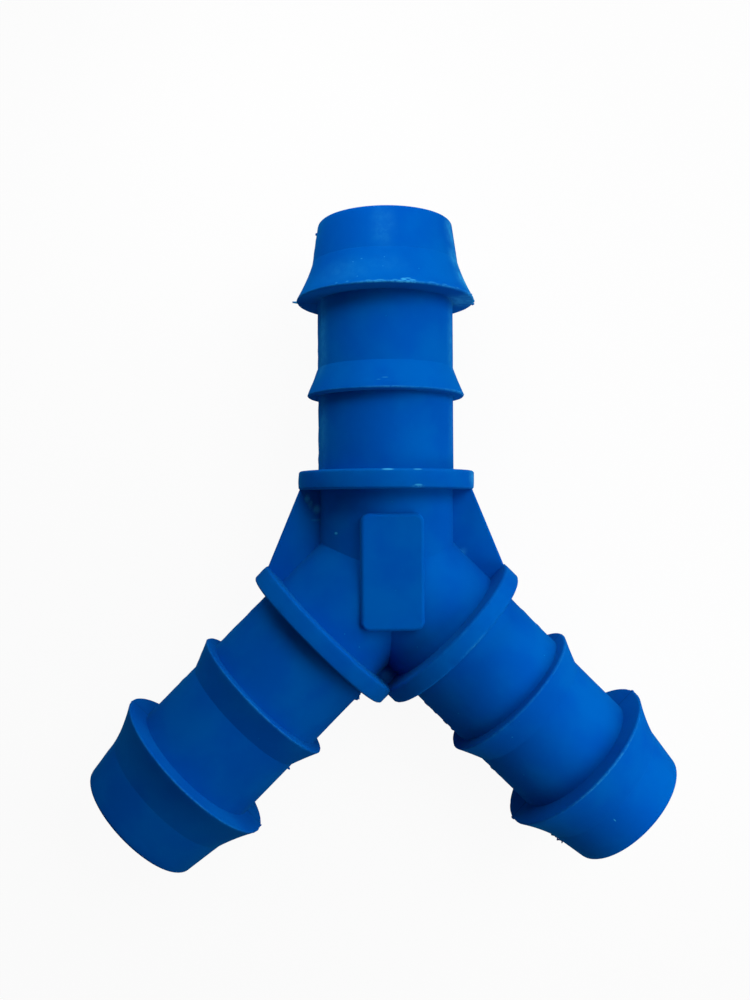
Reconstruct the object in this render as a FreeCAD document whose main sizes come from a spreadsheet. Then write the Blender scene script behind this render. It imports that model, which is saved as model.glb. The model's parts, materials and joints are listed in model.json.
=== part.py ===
import FreeCAD, Part

import collections
import math
import os

import Sketcher

# A barbed Y connector for hose, injection moulded in one piece.
# Three equal tails run out from a hub on one plane. Each tail is a plain shank with a collar
# at its root, two barbs and a tapered nose, and a round bore runs through it into the hub.
# Thin webs on the parting plane brace the collars, and a raised plate sits on top of the hub.
#
# The body is modelled about the point where the three bores meet: the parting plane is XY,
# the single tail points along +Y and the two branches point down to either side of it.
# Its placement then lays it on the ground, on the rims of its three outer barbs.

SIZES = (
    ("tail_diameter", 17.0, "outside diameter of the plain shank, the hose size"),
    ("tail_wall", 2.0, "wall between the shank and the bore"),
    ("hub_wall", 1.9, "wall between the hub and the bore"),
    ("branch_angle", 135.0, "turn from the single tail to either branch, in degrees"),
    ("collar_station", 10.1, "from the centre of the hub to the collar"),
    ("collar_width", 2.3, "collar, measured along the tail"),
    ("collar_height", 2.55, "collar's rim above the shank"),
    ("collar_edge", 0.2, "chamfers on the collar's rim"),
    ("inner_shank", 9.3, "plain shank from the collar to the inner barb"),
    ("inner_barb_height", 1.4, "inner barb's rim above the shank"),
    ("inner_barb_length", 3.6, "inner barb, measured along the tail"),
    ("inner_barb_hollow", 40.0, "radius of the inner barb's hollow flank"),
    ("outer_shank", 8.3, "plain shank between the two barbs"),
    ("outer_barb_height", 2.7, "outer barb's rim above the shank"),
    ("outer_barb_length", 4.8, "outer barb, measured along the tail"),
    ("outer_barb_hollow", 23.0, "radius of the outer barb's hollow flank"),
    ("barb_edge", 0.2, "chamfer on the back of the barbs' rims"),
    ("nose_height", 0.65, "root of the nose above the shank"),
    ("nose_length", 5.1, "from the outer barb to the mouth"),
    ("nose_taper", 8.4, "slope of the nose to the tail's axis, in degrees"),
    ("mouth_edge", 0.25, "chamfer on the mouth's outer edge"),
    ("mouth_lead_in", 0.4, "chamfer on the mouth of the bore"),
    ("web_thickness", 2.0, "webs between the collars"),
    ("web_root", 0.5, "depth that the webs run into the collars"),
    ("web_setback", 0.35, "from the collar's rim in to the web's outer edge"),
    ("web_edge", 0.35, "rounding of the webs' outer edges"),
    ("plate_width", 7.5, "raised plate, across the single tail"),
    ("plate_length", 13.8, "raised plate, along the single tail"),
    ("plate_shift", 0.3, "from the centre of the hub to the plate's centre"),
    ("plate_height", 0.65, "plate's face above the top of the hub"),
    ("plate_corner", 1.05, "rounding of the plate's corners"),
    ("plate_edge", 0.45, "rounding of the plate's top edge"),
)

NODE = "y_connector"
TAILS = 3

TAIL_RADIUS = "(Sizes.tail_diameter / 2)"
BORE_RADIUS = f"({TAIL_RADIUS} - Sizes.tail_wall)"
HUB_RADIUS = f"({BORE_RADIUS} + Sizes.hub_wall)"
COLLAR_RADIUS = f"({TAIL_RADIUS} + Sizes.collar_height)"
INNER_BARB_RADIUS = f"({TAIL_RADIUS} + Sizes.inner_barb_height)"
OUTER_BARB_RADIUS = f"({TAIL_RADIUS} + Sizes.outer_barb_height)"
NOSE_RADIUS = f"({TAIL_RADIUS} + Sizes.nose_height)"
NOSE_END_RADIUS = (
    f"({NOSE_RADIUS} - (Sizes.nose_length - Sizes.mouth_edge) * tan(Sizes.nose_taper))"
)
MOUTH_RADIUS = f"({NOSE_END_RADIUS} - Sizes.mouth_edge)"

COLLAR_END = "(Sizes.collar_station + Sizes.collar_width)"
INNER_BARB_START = f"({COLLAR_END} + Sizes.inner_shank)"
INNER_BARB_END = f"({INNER_BARB_START} + Sizes.inner_barb_length)"
OUTER_BARB_START = f"({INNER_BARB_END} + Sizes.outer_shank)"
MOUTH_STATION = f"({OUTER_BARB_START} + Sizes.outer_barb_length + Sizes.nose_length)"

WEB_STATION = "(Sizes.collar_station + Sizes.web_root)"
WEB_REACH = f"({COLLAR_RADIUS} - Sizes.web_setback)"

# How far the two branches reach below the hub's centre, at the outer edges of their mouths,
# and how high the hub's centre stands above the ground on the widest rims.
BRANCH_DROP = (
    f"({MOUTH_RADIUS} * sin(Sizes.branch_angle) - {MOUTH_STATION} * cos(Sizes.branch_angle))"
)
REST_HEIGHT = f"max({COLLAR_RADIUS}; {INNER_BARB_RADIUS}; {OUTER_BARB_RADIUS})"

# The plate's top edge is never rounded by more than this share of the plate's height.
PLATE_EDGE = "min(Sizes.plate_edge; 0.8 * Sizes.plate_height)"

FULL_TURN = 360.0
QUARTER_TURN = math.pi / 2
HAIR = 1e-6
CUBIC_CM = 1000.0

# How the sketcher numbers its origin, its vertical axis and the ends of an edge.
START, END = 1, 2
ORIGIN_POINT = (-1, START)
VERTICAL_AXIS = -2

# One stretch of a profile: the radius where it ends, if that changes, how far it runs along
# the axis, if it does, and the radius of its own curve if it is hollow.
Step = collections.namedtuple("Step", "radius along hollow", defaults=(None, None, None))


def make_sheet(doc):
    """Write each driving size into a sheet, with its name and what it measures."""
    sheet = doc.addObject("Spreadsheet::Sheet", "Sizes")
    for row, (alias, value, note) in enumerate(SIZES, start=1):
        sheet.set(f"A{row}", alias)
        sheet.set(f"B{row}", str(value))
        sheet.set(f"C{row}", note)
        sheet.setAlias(f"B{row}", alias)
    doc.recompute()
    return sheet


def number(feature, expression):
    """Work out what an expression on the sheet's sizes comes to."""
    return float(feature.evalExpression(expression))


def origin_feature(body, role):
    """Find one of the body's own planes or axes."""
    return next(item for item in body.Origin.OriginFeatures if item.Role == role)


def flat_sketch(body, name):
    """Start a sketch on the body's parting plane."""
    sketch = body.newObject("Sketcher::SketchObject", name)
    sketch.AttachmentSupport = (origin_feature(body, "XY_Plane"), [""])
    sketch.MapMode = "FlatFace"
    return sketch


def branch_sketch(body, name):
    """Start a sketch on the parting plane whose vertical axis runs along the left branch."""
    sketch = flat_sketch(body, name)
    turned = FreeCAD.Rotation(FreeCAD.Vector(0, 0, 1), number(sketch, "Sizes.branch_angle"))
    sketch.AttachmentOffset = FreeCAD.Placement(FreeCAD.Vector(), turned)
    sketch.setExpression(".AttachmentOffset.Rotation.Angle", "Sizes.branch_angle")
    return sketch


def bind(sketch, kind, arguments, expression):
    """Add a constraint and tie its value to the sheet."""
    start_value = number(sketch, expression)
    index = sketch.addConstraint(Sketcher.Constraint(kind, *arguments, start_value))
    sketch.setExpression(f"Constraints[{index}]", expression)


def corners_of(sketch, steps):
    """Walk the steps up from the origin and list the corners that they reach."""
    corners = [FreeCAD.Vector()]
    for step in steps:
        corner = FreeCAD.Vector(corners[-1])
        if step.radius:
            corner.x = number(sketch, step.radius)
        if step.along:
            corner.y += number(sketch, step.along)
        corners.append(corner)
    return corners


def hollow_arc(first, second, radius):
    """An arc of a radius that joins two points and is hollow on its right."""
    chord = second - first
    right = FreeCAD.Vector(chord.y, -chord.x, 0).normalize()
    rise = math.sqrt(radius**2 - (chord.Length / 2) ** 2)
    circle = Part.Circle((first + second) / 2 + right * rise, FreeCAD.Vector(0, 0, 1), radius)
    return Part.ArcOfCircle(circle, circle.parameter(second), circle.parameter(first))


def add_step(sketch, step, first, second):
    """Add a step's line or arc, and give its start and its end as the sketcher names them."""
    if step.hollow:
        arc = hollow_arc(first, second, number(sketch, step.hollow))
        edge = sketch.addGeometry(arc, False)
        bind(sketch, "Radius", (edge,), step.hollow)
        return (edge, END), (edge, START)
    edge = sketch.addGeometry(Part.LineSegment(first, second), False)
    return (edge, START), (edge, END)


def draw_profile(sketch, steps):
    """Draw a half profile up from the origin, in to the axis and back down it."""
    corners = corners_of(sketch, steps)
    reached = ORIGIN_POINT
    for step, first, second in zip(steps, corners, corners[1:]):
        start, end = add_step(sketch, step, first, second)
        sketch.addConstraint(Sketcher.Constraint("Coincident", *reached, *start))
        if step.radius:
            bind(sketch, "DistanceX", (*ORIGIN_POINT, *end), step.radius)
        else:
            sketch.addConstraint(Sketcher.Constraint("Vertical", start[0]))
        if step.along:
            bind(sketch, "DistanceY", (*start, *end), step.along)
        else:
            sketch.addConstraint(Sketcher.Constraint("Horizontal", start[0]))
        reached = end
    top = FreeCAD.Vector(0, corners[-1].y, 0)
    lid = sketch.addGeometry(Part.LineSegment(corners[-1], top), False)
    axis = sketch.addGeometry(Part.LineSegment(top, corners[0]), False)
    sketch.addConstraint(Sketcher.Constraint("Coincident", *reached, lid, START))
    sketch.addConstraint(Sketcher.Constraint("Horizontal", lid))
    sketch.addConstraint(Sketcher.Constraint("PointOnObject", lid, END, VERTICAL_AXIS))
    sketch.addConstraint(Sketcher.Constraint("Coincident", lid, END, axis, START))
    sketch.addConstraint(Sketcher.Constraint("Coincident", axis, END, *ORIGIN_POINT))


def revolve(body, kind, name, sketch):
    """Turn a half profile right round its sketch's vertical axis."""
    feature = body.newObject(kind, name)
    feature.Profile = sketch
    feature.ReferenceAxis = (sketch, ["V_Axis"])
    feature.Angle = FULL_TURN
    body.Document.recompute()
    return feature


def round_edges(body, name, base, edges, expression):
    """Round some edges of the feature before."""
    fillet = body.newObject("PartDesign::Fillet", name)
    fillet.Base = (base, edges)
    fillet.setExpression("Radius", expression)
    body.Document.recompute()
    return fillet


def repeat_round_hub(body, name, feature):
    """Repeat a feature of the left branch on the single tail and on the right branch."""
    pattern = body.newObject("PartDesign::PolarPattern", name)
    pattern.Originals = [feature]
    pattern.Axis = (origin_feature(body, "Z_Axis"), [""])
    pattern.Mode = "Spacing"
    pattern.setExpression("Offset", "Sizes.branch_angle")
    pattern.Reversed = True
    pattern.Occurrences = TAILS
    body.Tip = pattern
    body.Document.recompute()


def make_web(body):
    """Lay the flat web that braces the three collars, with straight edges that round over."""
    sketch = flat_sketch(body, "WebOutline")
    station = number(sketch, WEB_STATION)
    reach = number(sketch, WEB_REACH)
    turn = FreeCAD.Rotation(FreeCAD.Vector(0, 0, -1), number(sketch, "Sizes.branch_angle"))
    centre = FreeCAD.Vector()
    tail_foot = FreeCAD.Vector(0, station, 0)
    tail_right = FreeCAD.Vector(reach, station, 0)
    tail_left = FreeCAD.Vector(-reach, station, 0)
    branch_foot = turn.multVec(tail_foot)
    branch_right = turn.multVec(tail_left)
    branch_left = FreeCAD.Vector(-branch_right.x, branch_right.y, 0)
    crotch = FreeCAD.Vector(0, station**2 / branch_foot.y, 0)
    corners = (tail_left, tail_right, branch_right, crotch, branch_left)
    lines = [
        sketch.addGeometry(Part.LineSegment(first, second), False)
        for first, second in zip(corners, corners[1:] + corners[:1])
    ]
    for line, after in zip(lines, lines[1:] + lines[:1]):
        sketch.addConstraint(Sketcher.Constraint("Coincident", line, END, after, START))
    tail_face, right_rim, branch_face, _, left_rim = lines
    tail_run = sketch.addGeometry(Part.LineSegment(centre, tail_foot), True)
    branch_run = sketch.addGeometry(Part.LineSegment(centre, branch_foot), True)
    for run, face in ((tail_run, tail_face), (branch_run, branch_face)):
        sketch.addConstraint(Sketcher.Constraint("Coincident", run, START, *ORIGIN_POINT))
        sketch.addConstraint(Sketcher.Constraint("PointOnObject", run, END, face))
    sketch.addConstraint(Sketcher.Constraint("Vertical", tail_run))
    sketch.addConstraint(Sketcher.Constraint("Perpendicular", branch_run, branch_face))
    sketch.addConstraint(Sketcher.Constraint("Equal", tail_run, branch_run))
    sketch.addConstraint(
        Sketcher.Constraint("PointOnObject", branch_face, END, VERTICAL_AXIS)
    )
    for right, left in (
        ((right_rim, START), (left_rim, END)),
        ((right_rim, END), (left_rim, START)),
    ):
        sketch.addConstraint(Sketcher.Constraint("Symmetric", *right, *left, VERTICAL_AXIS))
    bind(sketch, "Distance", (tail_run,), WEB_STATION)
    bind(sketch, "Distance", (tail_run, END, right_rim, START), WEB_REACH)
    bind(sketch, "Distance", (branch_run, END, right_rim, END), WEB_REACH)
    bind(sketch, "Angle", (branch_run, START, tail_run, START), "Sizes.branch_angle")
    web = body.newObject("PartDesign::Pad", "Web")
    web.Profile = sketch
    web.SideType = "Symmetric"
    web.setExpression("Length", "Sizes.web_thickness")
    body.Document.recompute()
    round_edges(body, "WebRims", web, long_rims(web), "Sizes.web_edge")


def long_rims(web):
    """Name the edges of the web's two faces that run from collar to collar in the open."""
    station = number(web, WEB_STATION)
    names = []
    for index, edge in enumerate(web.Shape.Edges, start=1):
        first, second = (vertex.Point for vertex in edge.Vertexes)
        run = second - first
        if abs(run.z) > HAIR:
            continue
        from_centre = first.distanceToLine(FreeCAD.Vector(0, 0, first.z), run)
        if from_centre > station + HAIR:
            names.append(f"Edge{index}")
    return names


def make_tails(body):
    """Turn one barbed tail and set three of them about the hub."""
    sketch = branch_sketch(body, "TailProfile")
    draw_profile(sketch, (
        Step(radius=HUB_RADIUS),
        Step(along="Sizes.collar_station"),
        Step(radius=f"({COLLAR_RADIUS} - Sizes.collar_edge)"),
        Step(radius=COLLAR_RADIUS, along="Sizes.collar_edge"),
        Step(along="(Sizes.collar_width - 2 * Sizes.collar_edge)"),
        Step(radius=f"({COLLAR_RADIUS} - Sizes.collar_edge)", along="Sizes.collar_edge"),
        Step(radius=TAIL_RADIUS),
        Step(along="Sizes.inner_shank"),
        Step(radius=f"({INNER_BARB_RADIUS} - Sizes.barb_edge)"),
        Step(radius=INNER_BARB_RADIUS, along="Sizes.barb_edge"),
        Step(
            radius=TAIL_RADIUS,
            along="(Sizes.inner_barb_length - Sizes.barb_edge)",
            hollow="Sizes.inner_barb_hollow",
        ),
        Step(along="Sizes.outer_shank"),
        Step(radius=f"({OUTER_BARB_RADIUS} - Sizes.barb_edge)"),
        Step(radius=OUTER_BARB_RADIUS, along="Sizes.barb_edge"),
        Step(
            radius=NOSE_RADIUS,
            along="(Sizes.outer_barb_length - Sizes.barb_edge)",
            hollow="Sizes.outer_barb_hollow",
        ),
        Step(radius=NOSE_END_RADIUS, along="(Sizes.nose_length - Sizes.mouth_edge)"),
        Step(radius=MOUTH_RADIUS, along="Sizes.mouth_edge"),
    ))
    tail = revolve(body, "PartDesign::Revolution", "Tail", sketch)
    repeat_round_hub(body, "ThreeTails", tail)


def rounded_rectangle(sketch, width, length, shift, corner):
    """Draw a rectangle with round corners, centred on the vertical axis."""
    half_width = number(sketch, width) / 2
    half_length = number(sketch, length) / 2
    middle = number(sketch, shift)
    radius = number(sketch, corner)
    right = half_width - radius
    top = half_length - radius
    places = ((right, top), (-right, top), (-right, -top), (right, -top))
    arcs = []
    sides = []
    for turn, (x, y) in enumerate(places):
        centre = FreeCAD.Vector(x, middle + y, 0)
        circle = Part.Circle(centre, FreeCAD.Vector(0, 0, 1), radius)
        arc = Part.ArcOfCircle(circle, turn * QUARTER_TURN, (turn + 1) * QUARTER_TURN)
        arcs.append(sketch.addGeometry(arc, False))
    for turn, arc in enumerate(arcs):
        after = arcs[(turn + 1) % len(arcs)]
        begin = sketch.getPoint(arc, END)
        finish = sketch.getPoint(after, START)
        side = sketch.addGeometry(Part.LineSegment(begin, finish), False)
        sides.append(side)
        sketch.addConstraint(Sketcher.Constraint("Tangent", arc, END, side, START))
        sketch.addConstraint(Sketcher.Constraint("Tangent", side, END, after, START))
        if turn:
            sketch.addConstraint(Sketcher.Constraint("Equal", arcs[0], arc))
    top_side, left_side, bottom_side, right_side = sides
    sketch.addConstraint(Sketcher.Constraint("Horizontal", top_side))
    sketch.addConstraint(Sketcher.Constraint("Horizontal", bottom_side))
    sketch.addConstraint(Sketcher.Constraint("Vertical", left_side))
    sketch.addConstraint(Sketcher.Constraint("Vertical", right_side))
    bind(sketch, "Radius", (arcs[0],), corner)
    bind(sketch, "DistanceX", (left_side, START, right_side, START), width)
    bind(sketch, "DistanceX", (*ORIGIN_POINT, right_side, START), f"{width} / 2")
    bind(sketch, "DistanceY", (bottom_side, START, top_side, START), length)
    bind(
        sketch,
        "DistanceY",
        (*ORIGIN_POINT, top_side, START),
        f"{shift} + {length} / 2",
    )


def make_plate(body):
    """Raise the flat plate on top of the hub and round its edge."""
    sketch = flat_sketch(body, "PlateOutline")
    rounded_rectangle(
        sketch,
        "Sizes.plate_width",
        "Sizes.plate_length",
        "Sizes.plate_shift",
        "Sizes.plate_corner",
    )
    plate = body.newObject("PartDesign::Pad", "Plate")
    plate.Profile = sketch
    plate.setExpression("Length", f"{HUB_RADIUS} + Sizes.plate_height")
    body.Document.recompute()
    top = number(plate, f"{HUB_RADIUS} + Sizes.plate_height")
    rim = [
        f"Edge{index}"
        for index, edge in enumerate(plate.Shape.Edges, start=1)
        if all(abs(vertex.Z - top) < HAIR for vertex in edge.Vertexes)
    ]
    round_edges(body, "PlateRim", plate, rim, PLATE_EDGE)


def make_bores(body):
    """Bore the three tails through to the hub, each with a small lead-in at its mouth."""
    sketch = branch_sketch(body, "BoreProfile")
    draw_profile(sketch, (
        Step(radius=BORE_RADIUS),
        Step(along=f"({MOUTH_STATION} - Sizes.mouth_lead_in)"),
        Step(radius=f"({BORE_RADIUS} + Sizes.mouth_lead_in)", along="Sizes.mouth_lead_in"),
    ))
    bore = revolve(body, "PartDesign::Groove", "Bore", sketch)
    repeat_round_hub(body, "ThreeBores", bore)


def lay_down(body):
    """Set the body on the ground, with the origin under the middle of its footprint."""
    body.setExpression(".Placement.Base.y", f"({BRANCH_DROP} - {MOUTH_STATION}) / 2")
    body.setExpression(".Placement.Base.z", REST_HEIGHT)


def make_connector(doc):
    """Build the connector as one body."""
    body = doc.addObject("PartDesign::Body", "Connector")
    body.Label = NODE
    make_web(body)
    make_tails(body)
    make_plate(body)
    make_bores(body)
    lay_down(body)
    doc.recompute()
    return body


def check(doc, body):
    """Stop if any feature failed or the finished solid is not one valid solid."""
    for item in doc.Objects:
        if "Invalid" in item.State or "Error" in item.State:
            raise RuntimeError(f"{item.Label} failed: {item.State}")
    if body.Shape.isNull() or not body.Shape.isValid():
        raise RuntimeError(f"{body.Label} has no valid shape")
    if len(body.Shape.Solids) != 1:
        raise RuntimeError(f"{body.Label} is not one solid")


def main():
    doc = FreeCAD.newDocument("YConnector")
    make_sheet(doc)
    body = make_connector(doc)
    check(doc, body)
    os.makedirs("parts", exist_ok=True)
    body.Shape.exportStep(f"parts/{body.Label}.step")
    box = body.Shape.optimalBoundingBox()
    print(f"{body.Label}: {body.Shape.Volume / CUBIC_CM:.3f} cm3 within {box}")


main()
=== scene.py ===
"""A moulded plastic Y connector for hose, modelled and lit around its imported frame."""

import json
import math

import bmesh
import bpy
from bpy.props import FloatProperty, FloatVectorProperty, IntProperty, PointerProperty
from mathutils import Matrix, Vector, noise


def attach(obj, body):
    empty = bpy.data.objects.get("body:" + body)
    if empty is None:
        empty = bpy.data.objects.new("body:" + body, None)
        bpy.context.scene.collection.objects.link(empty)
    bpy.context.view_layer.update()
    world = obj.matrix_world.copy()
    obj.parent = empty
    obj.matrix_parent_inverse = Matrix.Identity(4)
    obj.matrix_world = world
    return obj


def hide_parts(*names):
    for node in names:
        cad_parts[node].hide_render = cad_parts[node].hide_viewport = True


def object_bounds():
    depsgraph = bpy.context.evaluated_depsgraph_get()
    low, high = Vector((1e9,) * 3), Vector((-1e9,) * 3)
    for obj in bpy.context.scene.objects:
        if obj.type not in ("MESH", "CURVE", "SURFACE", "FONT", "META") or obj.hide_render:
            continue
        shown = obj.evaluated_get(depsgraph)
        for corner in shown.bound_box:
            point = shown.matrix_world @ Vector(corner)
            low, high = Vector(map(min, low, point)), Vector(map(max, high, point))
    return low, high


bl_info = {
    "name": "Hose Y Connector",
    "version": (1, 0, 0),
    "blender": (4, 5, 0),
    "location": "3D View > Sidebar > Y Connector",
    "description": "Models a barbed hose connector, its mould flash and a plain studio",
    "category": "Object",
}

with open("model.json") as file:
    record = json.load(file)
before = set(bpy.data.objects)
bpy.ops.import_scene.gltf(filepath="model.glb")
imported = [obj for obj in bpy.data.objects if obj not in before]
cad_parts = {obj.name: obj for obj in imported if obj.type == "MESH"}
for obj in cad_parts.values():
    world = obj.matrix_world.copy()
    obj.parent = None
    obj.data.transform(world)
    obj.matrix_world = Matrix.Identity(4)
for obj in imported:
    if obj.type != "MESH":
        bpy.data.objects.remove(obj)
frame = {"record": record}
cad_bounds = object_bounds()

NODE = "y_connector"
BODY = "root"
MM = 0.001
MERGE = 1e-6
UP = Vector((0, 0, 1))
TAIL_NAMES = ("tail", "left_branch", "right_branch")

mounts = {mount["name"]: mount for mount in frame["record"]["mounts"]}
mouths = {name: Vector(mounts[f"{name}_hose"]["pos_m"]) for name in TAIL_NAMES}
axes = {name: Vector(mounts[f"{name}_hose"]["axis"]).normalized() for name in TAIL_NAMES}


# ---------------------------------------------------------------- sizes and colours


def length(name, description, millimetres):
    """A length that a user can change, given in millimetres and kept in metres."""
    return FloatProperty(
        name=name,
        description=description,
        default=millimetres * MM,
        min=0.0,
        unit="LENGTH",
        precision=5,
    )


def colour(name, description, default):
    """A linear colour that a user can change."""
    return FloatVectorProperty(
        name=name,
        description=description,
        default=default,
        subtype="COLOR",
        min=0.0,
        max=1.0,
    )


def factor(name, description, default):
    """A number without a unit that a user can change."""
    return FloatProperty(name=name, description=description, default=default, min=0.0)


class CONNECTOR_PG_sizes(bpy.types.PropertyGroup):
    """Sizes of the connector's body"""

    shank: length("Shank radius", "Outside radius of the plain shank", 8.5)
    bore: length("Bore radius", "Radius of the bore", mounts["tail_bore"]["dims"]["r_mm"])
    hub: length("Hub radius", "Outside radius of the hub", 8.4)
    collar_station: length("Collar station", "From the hub's centre to the collar", 10.1)
    collar_width: length("Collar width", "Collar, measured along the tail", 2.3)
    collar_height: length("Collar height", "Collar's rim above the shank", 2.55)
    collar_edge: length("Collar edge", "Softening of the collar's rim", 0.2)
    inner_shank: length("Inner shank", "Shank from the collar to the inner barb", 9.3)
    inner_barb_height: length("Inner barb height", "Inner barb above the shank", 1.4)
    inner_barb_length: length("Inner barb length", "Inner barb along the tail", 3.6)
    inner_barb_hollow: length("Inner barb hollow", "Radius of its hollow flank", 40.0)
    outer_shank: length("Outer shank", "Shank between the two barbs", 8.3)
    outer_barb_height: length("Outer barb height", "Outer barb above the shank", 2.7)
    outer_barb_length: length("Outer barb length", "Outer barb along the tail", 4.8)
    outer_barb_hollow: length("Outer barb hollow", "Radius of its hollow flank", 23.0)
    barb_edge: length("Barb edge", "Softening of the barbs' rims", 0.2)
    nose_height: length("Nose height", "Root of the nose above the shank", 0.65)
    nose_length: length("Nose length", "From the outer barb to the mouth", 5.1)
    nose_taper: FloatProperty(
        name="Nose taper",
        description="Slope of the nose to the tail's axis",
        default=math.radians(8.4),
        subtype="ANGLE",
    )
    mouth_edge: length("Mouth edge", "Softening of the mouth's outer edge", 0.25)
    mouth_lead_in: length("Mouth lead-in", "Chamfer on the mouth of the bore", 0.4)
    web_thickness: length("Web thickness", "Webs between the collars", 2.0)
    web_root: length("Web root", "Depth that the webs run into the collars", 0.5)
    web_setback: length("Web setback", "From the collar's rim in to the web's rim", 0.35)
    web_edge: length("Web edge", "Rounding of the webs' outer edges", 0.35)
    plate_width: length("Plate width", "Raised plate, across the single tail", 7.5)
    plate_length: length("Plate length", "Raised plate, along the single tail", 13.8)
    plate_shift: length("Plate shift", "From the hub's centre to the plate's centre", 0.3)
    plate_height: length("Plate height", "Plate's face above the hub", 0.65)
    plate_corner: length("Plate corner", "Rounding of the plate's corners", 1.05)
    plate_edge: length("Plate edge", "Rounding of the plate's top edge", 0.45)
    segments: IntProperty(
        name="Segments",
        description="Steps round a tail, a multiple of four",
        default=240,
        min=32,
    )


class CONNECTOR_PG_marks(bpy.types.PropertyGroup):
    """What moulding and handling leave on the body"""

    wave_height: length("Wave height", "Unevenness of the moulded walls", 0.02)
    wave_length: length("Wave length", "Distance between the waves in the walls", 5.0)
    seam_height: length("Seam height", "Parting seam above the walls", 0.06)
    seam_width: length("Seam width", "Width of the dark line along the seam", 0.26)
    nick_depth: length("Nick depth", "Nicks in the rims of the barbs and collars", 0.09)
    nick_length: length("Nick length", "Distance between the nicks", 0.9)
    # On some collar rims and along the nose's crease this band is a painted highlight.
    rim_width: length("Rim width", "Width of the worn band on a rim", 0.26)


class CONNECTOR_PG_look(bpy.types.PropertyGroup):
    """Colours and finish of the plastic"""

    blue: colour("Blue", "Colour of the plastic", (0.0, 0.08, 0.425))
    pale_blue: colour("Pale blue", "Colour of the thin, streaky patches", (0.0, 0.1, 0.445))
    # This colour also paints highlights on some collar rims and along the nose's crease, and
    # light on a shaded thread of flash.
    scuff_and_highlight: colour("Scuff", "Colour of scuffed edges and flecks", (0.035, 0.34, 0.68))
    # This colour is that of smudges and also of painted sheen: soft highlights and pale bands
    # where the sides turn away.
    haze: colour("Haze", "Colour of hazy, rubbed places", (0.02, 0.26, 0.62))
    roughness: factor("Roughness", "Roughness of the satin skin", 0.42)
    specular: factor("Specular", "Specular level of the skin", 0.0)
    tint: colour("Gloss tint", "Tint of the skin's gloss", (0.0, 0.76, 1.0))
    sparkle: factor("Sparkle", "Share of blue gloss from pigment near the skin", 0.025)
    sheen: factor("Sheen", "Soft glow of the skin where it turns away", 0.07)
    sheen_roughness: factor("Sheen roughness", "Spread of that glow", 0.35)
    sheen_tint: colour("Sheen tint", "Colour of that glow", (0.1, 1.0, 0.6))


class CONNECTOR_PG_studio(bpy.types.PropertyGroup):
    """Camera, lamps and floor"""

    camera_offset: FloatVectorProperty(
        name="Camera offset",
        description="From the hub's centre to the camera",
        default=(-9.36 * MM, 8.27 * MM, 115.47 * MM),
        subtype="TRANSLATION",
        unit="LENGTH",
    )
    camera_turn: FloatVectorProperty(
        name="Camera turn",
        description="Small turns that aim the camera down at the hub",
        default=(math.radians(0.264), math.radians(-3.933), math.radians(-0.276)),
        subtype="EULER",
        unit="ROTATION",
    )
    camera_lens: factor("Lens", "Focal length of the camera, in millimetres", 32.976)
    right_level: factor("Right lamp", "Level of the lamp on the right", 0.316)
    back_level: factor("Back lamp", "Level of the lamp behind the single tail", 0.395)
    key_level: factor("Key lamp", "Level of the lamp high on the right, behind", 0.4)
    low_level: factor("Low lamp", "Level of the lamp low on the right, behind", 0.283)
    room_level: factor("Room", "Level of the white surroundings", 0.13)
    floor_grey: factor("Floor", "Brightness of the floor", 0.8)
    floor_glow: factor("Floor glow", "Share of plain white seen in the floor", 0.94)


def inner_barb_start(sizes):
    """Station of the inner barb's back face."""
    return sizes.collar_station + sizes.collar_width + sizes.inner_shank


def outer_barb_start(sizes):
    """Station of the outer barb's back face."""
    return inner_barb_start(sizes) + sizes.inner_barb_length + sizes.outer_shank


def tail_length(sizes):
    """From the hub's centre to a mouth."""
    return outer_barb_start(sizes) + sizes.outer_barb_length + sizes.nose_length


def hub_centre(sizes):
    """The point where the three bores meet, found from the single tail's mouth."""
    return mouths["tail"] - axes["tail"] * tail_length(sizes)


def rims(sizes):
    """Radius and station of the crest of each rim on a tail."""
    collar = sizes.shank + sizes.collar_height
    collar_end = sizes.collar_station + sizes.collar_width
    inner = sizes.shank + sizes.inner_barb_height
    outer = sizes.shank + sizes.outer_barb_height
    return {
        "collar, hub side": (collar, sizes.collar_station + sizes.collar_edge),
        "collar, hose side": (collar, collar_end - sizes.collar_edge),
        "inner barb": (inner, inner_barb_start(sizes) + sizes.barb_edge),
        "outer barb": (outer, outer_barb_start(sizes) + sizes.barb_edge),
    }


def on_tail(name, station, turn, radius):
    """A point by its station, its turn to the right from the top in degrees, and its radius."""
    axis = axes[name]
    right = axis.cross(UP)
    angle = math.radians(turn)
    return axis * station + (right * math.sin(angle) + UP * math.cos(angle)) * radius


def nearest_tail(point):
    """The axis of the tail that a point of the body belongs to."""
    return max(axes.values(), key=point.dot)


def outer_radius(sizes, station):
    """Radius of a tail's outside at a station, read off its section."""
    section = [(point[1], point[0]) for point in outside_corners(sizes)]
    for (start, radius), (end, next_radius) in zip(section, section[1:]):
        if start <= station < end:
            return radius + (next_radius - radius) * (station - start) / (end - start)
    return section[-1][1]


# ---------------------------------------------------------------- the moulded body

# Steps in the roundings and in the barbs' hollow flanks.
CORNER_STEPS = 3
FLANK_STEPS = 8
WEB_EDGE_STEPS = 4
PLATE_CORNER_STEPS = 6
PLATE_EDGE_STEPS = 5
# Longest steps along a tail, on its outside and in its bore.
LONGEST_EDGE = 0.8 * MM
LONGEST_BORE_EDGE = 6.0 * MM
# Station where each section starts, past the hub's centre, so that the mitres trim it.
PAST_CENTRE = -1.0 * MM
# Share of an edge's size by which its two corners are rounded.
SOFTENING = 0.45
# How near to a mitre a corner counts as lying on it when a tail is trimmed.
ON_MITRE = MERGE / 10


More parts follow.
